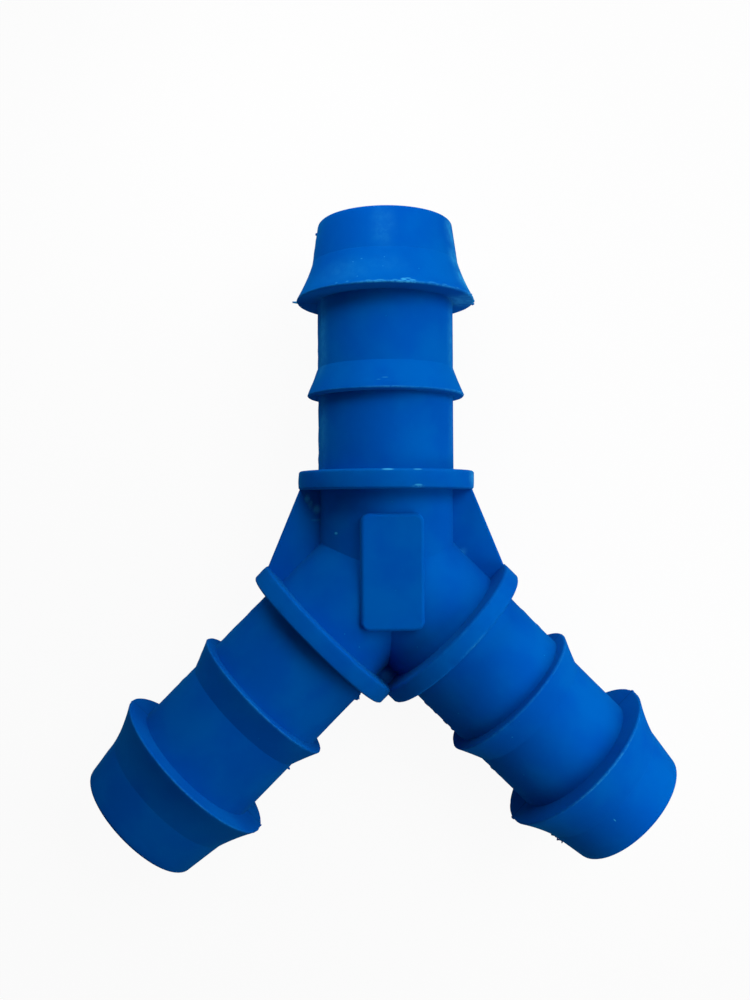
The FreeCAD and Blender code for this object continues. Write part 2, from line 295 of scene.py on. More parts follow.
def hollow_points(start, end, radius):
    """Points along a hollow arc between two corners of a section."""
    chord = end - start
    outwards = Vector((chord.y, -chord.x)).normalized()
    rise = math.sqrt(radius**2 - (chord.length / 2) ** 2)
    centre = (start + end) / 2 + outwards * rise
    sweep = 2 * math.asin(chord.length / (2 * radius))
    turns = (-sweep * step / FLANK_STEPS for step in range(1, FLANK_STEPS))
    return [centre + Matrix.Rotation(turn, 2) @ (start - centre) for turn in turns]


def barb_corners(sizes, root, start, height, barb_length, hollow, end_radius):
    """A barb's section, from the foot of its back face to the end of its hollow flank."""
    edge = sizes.barb_edge
    rim = root + height
    tip = Vector((rim, start + edge))
    flank_end = Vector((end_radius, start + barb_length))
    flank = [(*point, 0) for point in hollow_points(tip, flank_end, hollow)]
    return [
        (root, start, 0),
        (rim - edge, start, SOFTENING * edge),
        (*tip, SOFTENING * edge),
        *flank,
        (*flank_end, 0),
    ]


def outside_corners(sizes):
    """The outside of a tail's section: radius, station and softening of each corner."""
    shank = sizes.shank
    collar = shank + sizes.collar_height
    collar_start = sizes.collar_station
    collar_end = collar_start + sizes.collar_width
    edge = sizes.collar_edge
    soft = SOFTENING * edge
    nose = shank + sizes.nose_height
    nose_start = tail_length(sizes) - sizes.nose_length
    nose_end = tail_length(sizes) - sizes.mouth_edge
    nose_end_radius = nose - (nose_end - nose_start) * math.tan(sizes.nose_taper)
    return [
        (sizes.hub, PAST_CENTRE, 0),
        (sizes.hub, collar_start, 0),
        (collar - edge, collar_start, soft),
        (collar, collar_start + edge, soft),
        (collar, collar_end - edge, soft),
        (collar - edge, collar_end, soft),
        (shank, collar_end, 0),
        *barb_corners(
            sizes,
            shank,
            inner_barb_start(sizes),
            sizes.inner_barb_height,
            sizes.inner_barb_length,
            sizes.inner_barb_hollow,
            shank,
        ),
        *barb_corners(
            sizes,
            shank,
            outer_barb_start(sizes),
            sizes.outer_barb_height,
            sizes.outer_barb_length,
            sizes.outer_barb_hollow,
            nose,
        ),
        (nose_end_radius, nose_end, SOFTENING * sizes.mouth_edge),
    ]


def mouth_and_bore_corners(sizes):
    """The rest of the section: over the mouth and back down the bore."""
    mouth = tail_length(sizes)
    soft = SOFTENING * sizes.mouth_edge
    nose_end_radius = outside_corners(sizes)[-1][0]
    return [
        (nose_end_radius - sizes.mouth_edge, mouth, soft),
        (sizes.bore + sizes.mouth_lead_in, mouth, soft),
        (sizes.bore, mouth - sizes.mouth_lead_in, soft),
        (sizes.bore, PAST_CENTRE, 0),
    ]


def bevel(bm, geom, offset, segments, affect="EDGES"):
    """Round edges or vertices of a mesh."""
    bmesh.ops.bevel(
        bm,
        geom=geom,
        offset=offset,
        segments=segments,
        profile=0.5,
        affect=affect,
        material=-1,
        clamp_overlap=True,
    )


def add_section(bm, corners):
    """Add a section as a chain of edges, with its corners softened and long edges split."""
    verts = [bm.verts.new((radius, station, 0)) for radius, station, _ in corners]
    for first, second in zip(verts, verts[1:]):
        bm.edges.new((first, second))
    for vert, (_, _, softening) in zip(verts, corners):
        if softening:
            bevel(bm, [vert], softening, CORNER_STEPS, affect="VERTICES")
    bore = min(vert.co.x for vert in bm.verts)
    for edge in bm.edges[:]:
        in_bore = all(vert.co.x - bore < MERGE for vert in edge.verts)
        cuts = int(edge.calc_length() / (LONGEST_BORE_EDGE if in_bore else LONGEST_EDGE))
        if cuts:
            bmesh.ops.subdivide_edges(bm, edges=[edge], cuts=cuts)


def make_tail(sizes, axis):
    """Spin one tail about its axis and trim it on the mitres that it shares with the others."""
    bm = bmesh.new()
    add_section(bm, outside_corners(sizes) + mouth_and_bore_corners(sizes))
    bmesh.ops.spin(
        bm,
        geom=bm.verts[:] + bm.edges[:],
        cent=(0, 0, 0),
        axis=(0, 1, 0),
        dvec=(0, 0, 0),
        angle=2 * math.pi,
        steps=sizes.segments,
        use_merge=True,
    )
    turn = Vector((0, 1, 0)).rotation_difference(axis).to_matrix()
    bmesh.ops.rotate(bm, verts=bm.verts, cent=(0, 0, 0), matrix=turn)
    for other in axes.values():
        if other != axis:
            bmesh.ops.bisect_plane(
                bm,
                geom=bm.verts[:] + bm.edges[:] + bm.faces[:],
                dist=ON_MITRE,
                plane_co=(0, 0, 0),
                plane_no=(other - axis).normalized(),
                clear_outer=True,
            )
    mesh = bpy.data.meshes.new("tail")
    bm.to_mesh(mesh)
    bm.free()
    return mesh


def make_tails(sizes):
    """Join the three tails in one closed shell that is bored right through."""
    bm = bmesh.new()
    for axis in axes.values():
        mesh = make_tail(sizes, axis)
        bm.from_mesh(mesh)
        bpy.data.meshes.remove(mesh)
    bmesh.ops.remove_doubles(bm, verts=bm.verts, dist=MERGE)
    bmesh.ops.recalc_face_normals(bm, faces=bm.faces)
    return new_object("tails", bm)


def new_object(name, bm):
    """Turn a finished bmesh into an object of the scene."""
    mesh = bpy.data.meshes.new(name)
    bm.to_mesh(mesh)
    bm.free()
    piece = bpy.data.objects.new(name, mesh)
    bpy.context.scene.collection.objects.link(piece)
    return piece


def middle_of_wall(sizes):
    """Radius half way through the hub's wall, where the webs and the plate are rooted."""
    return (sizes.bore + sizes.hub) / 2


def make_web(sizes, first, second):
    """A flat web between two tails, from inside the hub's wall out to near their collars."""
    half_angle = first.angle(second) / 2
    bisector = (first + second).normalized()
    station = sizes.collar_station + sizes.web_root
    collar_reach = sizes.shank + sizes.collar_height - sizes.web_setback
    reach = min(collar_reach, station * math.tan(half_angle))
    in_wall = middle_of_wall(sizes)
    sides = [(bisector - axis * bisector.dot(axis)).normalized() for axis in (first, second)]
    corners = [
        bisector * in_wall / math.sin(half_angle),
        first * station + sides[0] * in_wall,
        first * station + sides[0] * reach,
        second * station + sides[1] * reach,
        second * station + sides[1] * in_wall,
    ]
    half_thickness = UP * sizes.web_thickness / 2
    bm = bmesh.new()
    face = bm.faces.new([bm.verts.new(corner - half_thickness) for corner in corners])
    raised = bmesh.ops.extrude_face_region(bm, geom=[face])["geom"]
    raised_verts = [item for item in raised if isinstance(item, bmesh.types.BMVert)]
    bmesh.ops.translate(bm, verts=raised_verts, vec=half_thickness * 2)
    bmesh.ops.remove_doubles(bm, verts=bm.verts, dist=MERGE)
    rim = corners[3] - corners[2]
    if rim.length > MERGE:
        across = rim.normalized().cross(UP)
        outer_edges = [
            edge
            for edge in bm.edges
            if all(abs((vert.co - corners[2]).dot(across)) < MERGE for vert in edge.verts)
            and edge.verts[0].co.z == edge.verts[1].co.z
        ]
        bevel(bm, outer_edges, sizes.web_edge, WEB_EDGE_STEPS)
    bmesh.ops.recalc_face_normals(bm, faces=bm.faces)
    return new_object("web", bm)


def make_plate(sizes):
    """The raised plate on top of the hub, with round corners and a soft top edge."""
    top = sizes.hub + sizes.plate_height
    bottom = middle_of_wall(sizes)
    bm = bmesh.new()
    bmesh.ops.create_cube(bm, size=1)
    size = (sizes.plate_width, sizes.plate_length, top - bottom)
    bmesh.ops.scale(bm, verts=bm.verts, vec=size)
    bmesh.ops.translate(bm, verts=bm.verts, vec=(0, sizes.plate_shift, (top + bottom) / 2))
    upright = [edge for edge in bm.edges if edge.verts[0].co.xy == edge.verts[1].co.xy]
    bevel(bm, upright, sizes.plate_corner, PLATE_CORNER_STEPS)
    rim = [edge for edge in bm.edges if all(top - vert.co.z < MERGE for vert in edge.verts)]
    bevel(bm, rim, sizes.plate_edge, PLATE_EDGE_STEPS)
    bmesh.ops.recalc_face_normals(bm, faces=bm.faces)
    return new_object("plate", bm)


def unite(base, others):
    """Fuse other closed pieces into a base piece."""
    bpy.context.view_layer.objects.active = base
    for other in others:
        union = base.modifiers.new("Union", "BOOLEAN")
        union.operation = "UNION"
        union.solver = "EXACT"
        union.object = other
        bpy.ops.object.modifier_apply(modifier=union.name)
        mesh = other.data
        bpy.data.objects.remove(other)
        bpy.data.meshes.remove(mesh)


def model_body(sizes):
    """Model the whole moulding about the hub's centre."""
    body = make_tails(sizes)
    tail, left, right = axes.values()
    webs = [make_web(sizes, *pair) for pair in ((tail, left), (tail, right), (left, right))]
    unite(body, [*webs, make_plate(sizes)])
    return body


# Angles from which an edge stays crisp: anywhere, and on a mitre or at the end of a barb.
SHARP_ANGLE = math.radians(27)
CREASE_ANGLE = math.radians(4)


def mark_sharp_edges(bm, sizes):
    """Keep corners, the ends of the barbs and the mitres crisp under smooth shading."""
    tails = list(axes.values())
    mitres = [
        (first - second).normalized() for first in tails for second in tails if first != second
    ]
    barb_ends = (
        inner_barb_start(sizes) + sizes.inner_barb_length,
        outer_barb_start(sizes) + sizes.outer_barb_length,
    )
    for edge in bm.edges:
        angle = edge.calc_face_angle(math.pi)
        axis = nearest_tail(edge.verts[0].co)
        stations = [vert.co.dot(axis) for vert in edge.verts]
        on_mitre = any(
            all(abs(vert.co.dot(mitre)) < MERGE for vert in edge.verts) for mitre in mitres
        )
        on_barb_end = any(
            all(abs(station - barb_end) < MERGE for station in stations) for barb_end in barb_ends
        )
        edge.smooth = angle < (CREASE_ANGLE if on_mitre or on_barb_end else SHARP_ANGLE)


# ---------------------------------------------------------------- marks of moulding and wear, and painted highlights

# In the tables of marks, turns and leans are in degrees and all lengths in millimetres.
# Places where a rim is paler: tail, rim, turn, reach and strength. On the barbs this is scuffing;
# the rows on the collars are painted highlights.
SCUFFS_AND_HIGHLIGHTS = (
    ("tail", "outer barb", 8, 2.2, 0.9),
    ("tail", "outer barb", -10, 3.5, 0.5),
    ("tail", "outer barb", 30, 4.0, 0.3),
    ("tail", "outer barb", 92, 2.5, 0.6),
    ("tail", "inner barb", 60, 5.0, 0.25),
    ("tail", "inner barb", 0, 4.0, 0.2),
    ("tail", "collar, hub side", 15, 0.9, 0.6),
    ("tail", "collar, hub side", 78, 2.0, 0.4),
    ("left_branch", "outer barb", 0, 9.0, 0.15),
    ("left_branch", "inner barb", 0, 9.0, 0.12),
    ("right_branch", "outer barb", 5, 4.5, 0.25),
    ("right_branch", "outer barb", -22, 3.0, 0.25),
    ("right_branch", "collar, hose side", -5, 2.5, 0.2),
)
# Wear all round the barbs' rims and the collars' rims.
BARB_WEAR = 0.1
COLLAR_WEAR = 0.03
# The edge between outer barb and nose is made pale as a rim is that lies this far off: a painted
# highlight along that crease.
NOSE_EDGE_FADE = 0.17 * MM
# Share of the seam's height that stands before its unevenness is added.
SEAM_LEVEL = 0.6
# How far the nicks reach from a rim, in widths of the worn band, and what sets their noise apart
# from the seam's.
NICK_REACH = 2
NICK_SHIFT = Vector((7, 0, 0))


def shape_marks(bm, sizes, marks):
    """Move the walls as moulding leaves them: a little wavy, with a seam and nicked rims."""
    corners = rims(sizes).values()
    for vert in bm.verts:
        axis = nearest_tail(vert.co)
        station = vert.co.dot(axis)
        outwards = vert.co - axis * station
        radius = outwards.length
        if station < sizes.collar_station - MERGE or radius < sizes.hub - MERGE:
            continue
        rise = noise.noise(vert.co / marks.wave_length) * marks.wave_height
        if abs(vert.co.z) < MERGE:
            unevenness = noise.noise(vert.co / marks.nick_length)
            rise += marks.seam_height * (SEAM_LEVEL + unevenness)
        closeness = max(
            1 - math.hypot(radius - rim, station - rim_station) / (NICK_REACH * marks.rim_width)
            for rim, rim_station in corners
        )
        if closeness > 0:
            roughness = noise.noise(vert.co / marks.nick_length + NICK_SHIFT)
            rise -= closeness * marks.nick_depth * max(roughness, 0)
        vert.co += outwards.normalized() * rise


def write_wear_and_painted_light(mesh, sizes):
    """Write what the material reads: rim wear with some painted highlights, and how far the
    nearest rim is.
    """
    corners = rims(sizes)
    nose_edge = (
        sizes.shank + sizes.nose_height,
        outer_barb_start(sizes) + sizes.outer_barb_length,
    )
    places = []
    for name, rim, turn, reach, strength in SCUFFS_AND_HIGHLIGHTS:
        radius, station = corners[rim]
        places.append((on_tail(name, station, turn, radius), reach * MM, strength))
    wear_and_painted_light = mesh.attributes.new("wear_and_painted_light", "FLOAT", "POINT")
    rim_distance = mesh.attributes.new("rim_distance", "FLOAT", "POINT")
    for vert in mesh.vertices:
        axis = nearest_tail(vert.co)
        station = vert.co.dot(axis)
        radius = (vert.co - axis * station).length
        rim_distance.data[vert.index].value = min(
            math.dist((radius, station), nose_edge) + NOSE_EDGE_FADE,
            *(math.dist((radius, station), rim) for rim in corners.values()),
        )
        on_barb = station > sizes.collar_station + sizes.collar_width + MERGE
        wear_and_painted_light.data[vert.index].value = (BARB_WEAR if on_barb else COLLAR_WEAR) + sum(
            strength * max(0, 1 - (vert.co - place).length / reach)
            for place, reach, strength in places
        )


# Lumps of flash on the parting line: tail, station, turn, rise, width along the tail and
# thickness.
NUBS = (
    ("tail", 42.3, -90, 0.22, 0.35, 0.2),
    ("tail", 33.75, 90, 0.22, 0.4, 0.3),
    ("tail", 34.1, 88, 0.16, 0.5, 0.5),
    ("tail", 34.4, 84, 0.12, 0.7, 0.7),
    ("tail", 33.9, 86, 0.16, 0.3, 1.2),
    ("left_branch", 14.1, -90, 0.5, 0.8, 0.5),
    ("left_branch", 13.6, -90, 0.22, 0.5, 0.3),
    ("left_branch", 26.3, -90, 0.42, 0.36, 0.25),
    ("left_branch", 39.2, -90, 0.2, 0.6, 0.2),
    ("left_branch", 33.75, -88, 0.06, 0.5, 0.3),
    ("right_branch", 15.6, 90, 0.12, 1.0, 0.3),
    ("right_branch", 17.1, 90, 0.1, 0.7, 0.3),
    ("right_branch", 18.9, 90, 0.12, 0.9, 0.3),
    ("right_branch", 20.2, 90, 0.12, 0.6, 0.3),
    ("right_branch", 18.9, -90, 0.07, 1.0, 0.3),
    ("right_branch", 33.7, -90, 0.16, 0.4, 0.3),
    ("right_branch", 33.75, 90, 0.14, 0.5, 0.3),
    ("right_branch", 27.4, 90, 0.1, 0.8, 0.25),
    ("right_branch", 39.5, 90, 0.16, 0.5, 0.3),
    ("right_branch", 40.3, 90, 0.14, 0.5, 0.3),
)
# Threads of flash: tail, station, turn, rise, lean along the tail, thickness and paleness, where
# a paleness of 1 is painted light on a thread that the body shades.
THREADS = (
    ("tail", 33.68, -90, 0.62, 3, 0.36, 1.0),
    ("right_branch", 39.3, 90, 0.5, -55, 0.3, 0.0),
    ("right_branch", 39.75, 90, 0.4, 35, 0.28, 0.0),
    ("right_branch", 40.3, 90, 0.4, -50, 0.3, 0.0),
    ("right_branch", 40.5, 90, 0.32, 30, 0.26, 0.0),
)
# How far a thread's root is sunk in the wall, in millimetres.
SUNK = 0.25
THREAD_SIDES = 12
# A thread's thickness in radii of its root and of its tip.
ROOT_TAPER = 2
TIP_TAPER = 3.5
# Unevenness of a lump of flash, as a share of its size, and the distance between its bumps.
NUB_UNEVENNESS = 0.35
NUB_BUMPS = 0.15 * MM
NUB_SUBDIVISIONS = 3


def place_flash(verts, bm, name, station, turn, radius, lean=0.0):
    """Turn a piece of flash from standing along +Z to standing off a tail's wall."""
    axis = axes[name]
    root = on_tail(name, station, turn, radius)
    outwards = on_tail(name, 0, turn, 1)
    tilted = (outwards * math.cos(lean) + axis * math.sin(lean)).normalized()
    across = tilted.cross(axis).normalized()
    along = across.cross(tilted)
    place = Matrix((across, along, tilted)).transposed().to_4x4()
    place.translation = root
    bmesh.ops.transform(bm, verts=verts, matrix=place)


def add_nub(bm, sizes, name, station, turn, rise, width, thickness):
    """A small uneven lump of flash."""
    lump = bmesh.ops.create_icosphere(bm, subdivisions=NUB_SUBDIVISIONS, radius=1)
    verts = lump["verts"]
    bmesh.ops.scale(bm, verts=verts, vec=(thickness * MM / 2, width * MM / 2, rise * MM))
    shift = Vector((station, turn, 0))
    for vert in verts:
        vert.co *= 1 + NUB_UNEVENNESS * noise.noise(vert.co / NUB_BUMPS + shift)
    radius = outer_radius(sizes, station * MM)
    place_flash(verts, bm, name, station * MM, turn, radius)


def add_thread(bm, sizes, name, station, turn, rise, lean, thickness, wear_and_painted_light):
    """A thin thread of flash that tapers to its tip."""
    thread = bmesh.ops.create_cone(
        bm,
        cap_ends=True,
        segments=THREAD_SIDES,
        radius1=thickness * MM / ROOT_TAPER,
        radius2=thickness * MM / TIP_TAPER,
        depth=(rise + SUNK) * MM,
    )
    verts = thread["verts"]
    bmesh.ops.translate(bm, verts=verts, vec=UP * (rise - SUNK) * MM / 2)
    radius = outer_radius(sizes, station * MM)
    place_flash(verts, bm, name, station * MM, turn, radius, math.radians(lean))
    # A paleness of 1 is painted light: it makes a thread that the body shades look lit.
    paleness = bm.verts.layers.float["wear_and_painted_light"]
    for vert in verts:
        vert[paleness] = wear_and_painted_light


def finish_piece(piece, sizes, context):
    """Bring a piece that was modelled about the hub's centre to its place in the frame."""
    piece.data.transform(Matrix.Translation(hub_centre(sizes)))
    piece.data.materials.append(plastic_material(context.scene))
    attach(piece, BODY)


# ---------------------------------------------------------------- the plastic

MATERIAL = "satin_blue_plastic"

# Pale flecks, small scratches and painted highlights: tail, station, turn, length across the tail
# and along it, and strength. The rows at stations 10.5 to 12.3 lie on collar rims and are painted
# highlights.
FLECKS_AND_HIGHLIGHTS = (
    ("tail", 34.1, 6.6, 0.9, 0.5, 0.8),
    ("tail", 34.05, 12.0, 1.1, 0.3, 0.7),
    ("tail", 34.25, 9.4, 1.0, 0.22, 0.7),
    ("tail", 34.0, -7.6, 1.3, 0.22, 0.5),
    ("tail", 34.0, 1.2, 0.9, 0.22, 0.45),
    ("tail", 34.0, -14.7, 0.9, 0.2, 0.4),
    ("tail", 34.05, -28, 0.5, 0.3, 0.35),
    ("tail", 34.05, -35.5, 0.5, 0.3, 0.35),
    ("tail", 34.0, 25.0, 1.4, 0.22, 0.28),
    ("tail", 34.0, 34.7, 1.0, 0.26, 0.28),
    ("tail", 33.95, 46.5, 0.8, 0.3, 0.3),
    ("tail", 12.3, -3.6, 1.8, 0.4, 0.9),
    ("tail", 12.3, 14.8, 1.4, 0.36, 0.6),
    ("tail", 10.5, 15.1, 1.3, 0.3, 0.8),
    ("tail", 22.8, -9.6, 0.7, 0.12, 0.3),
    ("tail", 23.05, -5.0, 1.0, 0.12, 0.45),
    ("tail", 36.6, -27, 0.22, 0.16, 0.5),
    ("tail", 36.9, -21, 0.3, 0.16, 0.5),
    ("tail", 37.0, -5, 0.16, 0.18, 0.5),
    ("tail", 35.8, -6, 0.16, 0.16, 0.4),
    ("tail", 34.6, -22, 0.2, 0.2, 0.4),
    ("tail", 30.4, -4, 0.14, 0.14, 0.4),
    ("tail", 4.8, -50.7, 0.76, 0.4, 0.9),
    ("right_branch", 23.7, 24, 0.2, 0.2, 0.5),
    ("right_branch", 39.4, 14, 0.2, 0.6, 0.7),
    ("right_branch", 28.7, 45, 0.16, 0.16, 0.5),
    ("right_branch", 12.25, -4, 0.7, 0.2, 0.35),
    ("left_branch", 37.5, 150, 0.2, 0.2, 0.5),
    ("right_branch", 18.0, 160, 0.2, 0.5, 0.5),
    ("tail", 28.0, 175, 0.2, 0.2, 0.5),
)
# Length through the wall of each of these spots in millimetres, and the share of its reach that
# is fully pale.
FLECK_AND_HIGHLIGHT_DEPTH = 0.5
FLECK_AND_HIGHLIGHT_CORE = 0.4
# Cloudy pale patches: tail, station, turn, how far off the wall they lie, lengths across the
# tail, along it and through its wall, and strength. Most are painted sheen: on the single tail,
# the rows at turns from -33 to 76 and at -70 are soft painted highlights on the nose and outer
# barb and pale bands painted where its sides turn away, and the row on the left branch lightens
# the small web in the crotch. The rows near -84 on the single tail are smudges on the left web,
# and the row on the right branch is a paler patch by the right web.
SMUDGES_AND_SHEEN = (
    ("tail", 41.0, -6, 0, (4.4, 9.0, 3.0), 0.24),
    ("tail", 36.0, -4, 0, (9.0, 6.0, 3.0), 0.1),
    ("tail", 35.6, -33, 0, (13.0, 5.0, 6.0), 0.17),
    ("tail", 33.7, 76, -1.0, (10.0, 2.6, 8.0), 1.3),
    ("tail", 33.8, 73, 0.3, (3.6, 1.6, 2.0), 1.6),
    ("tail", 35.6, 66, 0, (6.4, 5.0, 4.0), 1.0),
    ("tail", 38.2, 66, 0, (6.0, 5.0, 4.0), 0.8),
    ("tail", 41.8, 66, 0, (5.6, 7.0, 3.6), 0.7),
    ("tail", 28.5, 68, 0, (4.0, 16.0, 3.0), 0.5),
    ("tail", 17.5, 68, 0, (3.6, 14.0, 3.0), 0.3),
    ("tail", 28.5, -70, 0, (4.0, 18.0, 3.0), 0.5),
    ("tail", 17.5, -70, 0, (4.0, 16.0, 3.0), 0.4),
    ("tail", 11.4, 71, 0, (5.0, 4.0, 2.4), 0.8),
    ("tail", 9.0, -84.2, 1.57, (1.8, 1.6, 1.0), 1.5),
    ("tail", 8.3, -84.0, 1.2, (1.8, 1.5, 0.9), 1.3),
    ("tail", 7.7, -83.5, 0.44, (1.8, 1.6, 1.3), 1.7),
    ("tail", 6.3, -83.3, 0.5, (1.2, 0.5, 2.4), 0.4),
    ("left_branch", 9.3, -83.9, 0.96, (1.8, 2.4, 2.4), 0.7),
    ("right_branch", 5.2, -82, 0, (1.4, 1.4, 2.0), 0.6),
)
SMUDGE_AND_SHEEN_CORE = 0.0
# The least share of each patch that its haze leaves.
HAZE_SHARE = 0.45
# Specks of dust: the cells that may each hold one, a speck's size, which cells hold one, from the
# first faint one to the palest, and how pale that is.
DUST_SPACING = 1.7 * MM
DUST_SIZE = 0.11 * MM
DUST_RANGE = (0.6, 0.9)
DUST_STRENGTH = 0.6
# Grains: size of the features in millimetres, detail, roughness, and how many steps of SEED_STEP
# set each apart from the others.
GRAINS = {
    "streaks": (7.0, 3, 0.5, 1),
    "scuffs_and_highlights": (0.45, 4, 0.7, 2),
    "haze": (0.9, 4, 0.65, 3),
    "satin": (2.2, 4, 0.5, 4),
    "pebbles": (0.16, 3, 0.6, 5),
    "dips": (1.6, 3, 0.5, 6),
}
SEED_STEP = Vector((0.31, 0.17, 0.23))
# The part of a grain that is stretched from none of its effect to all of it.
STREAK_RANGE = (0.35, 0.65)
SCUFF_AND_HIGHLIGHT_RANGE = (0.3, 0.62)
HAZE_RANGE = (0.38, 0.62)
SATIN_RANGE = (0.3, 0.7)
# How the satin grain changes the roughness, at least and at most, and how much pale places do.
SATIN_CHANGE = (-0.05, 0.06)
PALE_ROUGHNESS = 0.2
# Share of the pale band on a rim that is fully pale; on some collar rims and along the nose's
# crease that band is a painted highlight.
RIM_CORE = 0.3
# Share of the seam's half width that is fully dark, its strength, and its shade of the blue.
SEAM_CORE = 0.4
SEAM_STRENGTH = 0.45
SEAM_SHADE = 0.3
# Height of the skin's relief, and the pebbles' share in it.
RELIEF_HEIGHT = 0.03 * MM
PEBBLE_SHARE = 0.25


def add_node(tree, kind, inputs=None, **settings):
    """Add a node to a material and set or link its inputs."""
    node = tree.nodes.new(kind)
    for name, value in settings.items():
        setattr(node, name, value)
    for name, value in (inputs or {}).items():
        if isinstance(value, bpy.types.NodeSocket):
            tree.links.new(value, node.inputs[name])
        else:
            node.inputs[name].default_value = value
    return node


def attribute(tree, name):
    """A value that the mesh carries."""
    return add_node(tree, "ShaderNodeAttribute", attribute_name=name).outputs["Fac"]


def grain(tree, place, name):
    """Noise from 0 to 1 whose features are as GRAINS says."""
    size, detail, roughness, shift = GRAINS[name]
    moved = add_node(
        tree,
        "ShaderNodeVectorMath",
        {0: place, 1: SEED_STEP * shift},
        operation="ADD",
    )
    texture = add_node(
        tree,
        "ShaderNodeTexNoise",
        {
            "Vector": moved.outputs[0],
            "Scale": 1 / (size * MM),
            "Detail": detail,
            "Roughness": roughness,
        },
    )
    return texture.outputs["Fac"]


def between(tree, value, low, high, to_low=0.0, to_high=1.0):
    """Ease a value from one range to another and clamp it."""
    stretch = add_node(
        tree,
        "ShaderNodeMapRange",
        {0: value, 1: low, 2: high, 3: to_low, 4: to_high},
        interpolation_type="SMOOTHSTEP",
    )
    return stretch.outputs[0]


def combine(tree, operation, first, second):
    """Combine two values."""
    values = {0: first, 1: second}
    return add_node(tree, "ShaderNodeMath", values, operation=operation).outputs[0]


def blend_colours(tree, amount, first, second):
    """Mix two colours."""
    mix = add_node(tree, "ShaderNodeMix", {0: amount, 6: first, 7: second}, data_type="RGBA")
    return mix.outputs[2]


def marked_spots(tree, place, sizes, spots):
    """How strongly the strongest of some soft-edged ellipsoids marks the surface."""
    total = 0.0
    centre = hub_centre(sizes)
    for name, station, turn, off, lengths, strength, core in spots:
        radius = outer_radius(sizes, station * MM) + off * MM
        spot = add_node(
            tree,
            "ShaderNodeMapping",
            {
                "Vector": place,
                "Location": centre + on_tail(name, station * MM, turn, radius),
                "Rotation": spot_turn(name, turn),
                "Scale": Vector(lengths) * MM / 2,
            },
            vector_type="TEXTURE",
        )
        distance = add_node(
            tree, "ShaderNodeVectorMath", {0: spot.outputs[0]}, operation="LENGTH"
        ).outputs["Value"]
        faded = between(tree, distance, 1.0, core, 0.0, strength)
        total = combine(tree, "MAXIMUM", faded, total)
    return total


def spot_turn(name, turn):
    """The turn that lays X across a tail, Y along it and Z through its wall."""
    axis = axes[name]
    outwards = on_tail(name, 0, turn, 1)
    across = axis.cross(outwards)
    return Matrix((across, axis, outwards)).transposed().to_euler()


def scuffed_and_highlit_rims(tree, place, rim_distance, rim_width):
    """How pale the rims and flash are: broken scuffing, with painted highlights and painted
    light.
    """
    on_rim = between(tree, rim_distance, rim_width, RIM_CORE * rim_width)
    broken = between(tree, grain(tree, place, "scuffs_and_highlights"), *SCUFF_AND_HIGHLIGHT_RANGE)
    rim_paleness = combine(tree, "MULTIPLY", attribute(tree, "wear_and_painted_light"), on_rim)
    return combine(tree, "MULTIPLY", rim_paleness, broken)


def fleck_and_highlight_spots(tree, place, sizes):
    """How pale the flecks, small scratches and painted highlights are."""
    spots = [
        (name, station, turn, 0, (across, along, FLECK_AND_HIGHLIGHT_DEPTH), strength, FLECK_AND_HIGHLIGHT_CORE)
        for name, station, turn, across, along, strength in FLECKS_AND_HIGHLIGHTS
    ]
    return marked_spots(tree, place, sizes, spots)


def dust_specks(tree, place):
    """How pale the specks of dust are."""
    dust = add_node(tree, "ShaderNodeTexVoronoi", {"Vector": place, "Scale": 1 / DUST_SPACING})
    chosen = between(tree, dust.outputs["Color"], *DUST_RANGE, 0.0, DUST_STRENGTH)
    speck = between(tree, dust.outputs["Distance"], DUST_SIZE / DUST_SPACING, 0.0)
    return combine(tree, "MULTIPLY", chosen, speck)


def smudges_and_painted_sheen(tree, place, sizes):
    """How hazy the smudges and the painted sheen are."""
    clouded = marked_spots(tree, place, sizes, [(*patch, SMUDGE_AND_SHEEN_CORE) for patch in SMUDGES_AND_SHEEN])
    haze = between(tree, grain(tree, place, "haze"), *HAZE_RANGE, HAZE_SHARE, 1.0)
    return combine(tree, "MULTIPLY", clouded, haze)


def dark_seam(tree, place, rim_distance, middle, marks):
    """How dark the parting seam is: a line at mid height that stops short of the rims."""
    height = add_node(tree, "ShaderNodeSeparateXYZ", {"Vector": place}).outputs["Z"]
    off_seam = combine(tree, "ABSOLUTE", combine(tree, "SUBTRACT", height, middle), 0.0)
    half_width = marks.seam_width / 2
    on_seam = between(tree, off_seam, half_width, SEAM_CORE * half_width, 0.0, SEAM_STRENGTH)
    return combine(tree, "MULTIPLY", on_seam, between(tree, rim_distance, 0.0, marks.rim_width))


def skin_roughness(tree, place, pale, roughness):
    """The satin skin's roughness, uneven and higher in pale places."""
    lowest, highest = (roughness + change for change in SATIN_CHANGE)
    satin = between(tree, grain(tree, place, "satin"), *SATIN_RANGE, lowest, highest)
    return combine(tree, "ADD", satin, combine(tree, "MULTIPLY", pale, PALE_ROUGHNESS))


def skin_relief(tree, place):
    """Fine pebbles over broad shallow dips, as a bump in the skin."""
    pebbles = combine(tree, "MULTIPLY", grain(tree, place, "pebbles"), PEBBLE_SHARE)
    relief = combine(tree, "ADD", pebbles, grain(tree, place, "dips"))
    bump = add_node(
        tree,
        "ShaderNodeBump",
        {"Height": relief, "Distance": RELIEF_HEIGHT, "Strength": 1.0},
    )
    return bump.outputs[0]


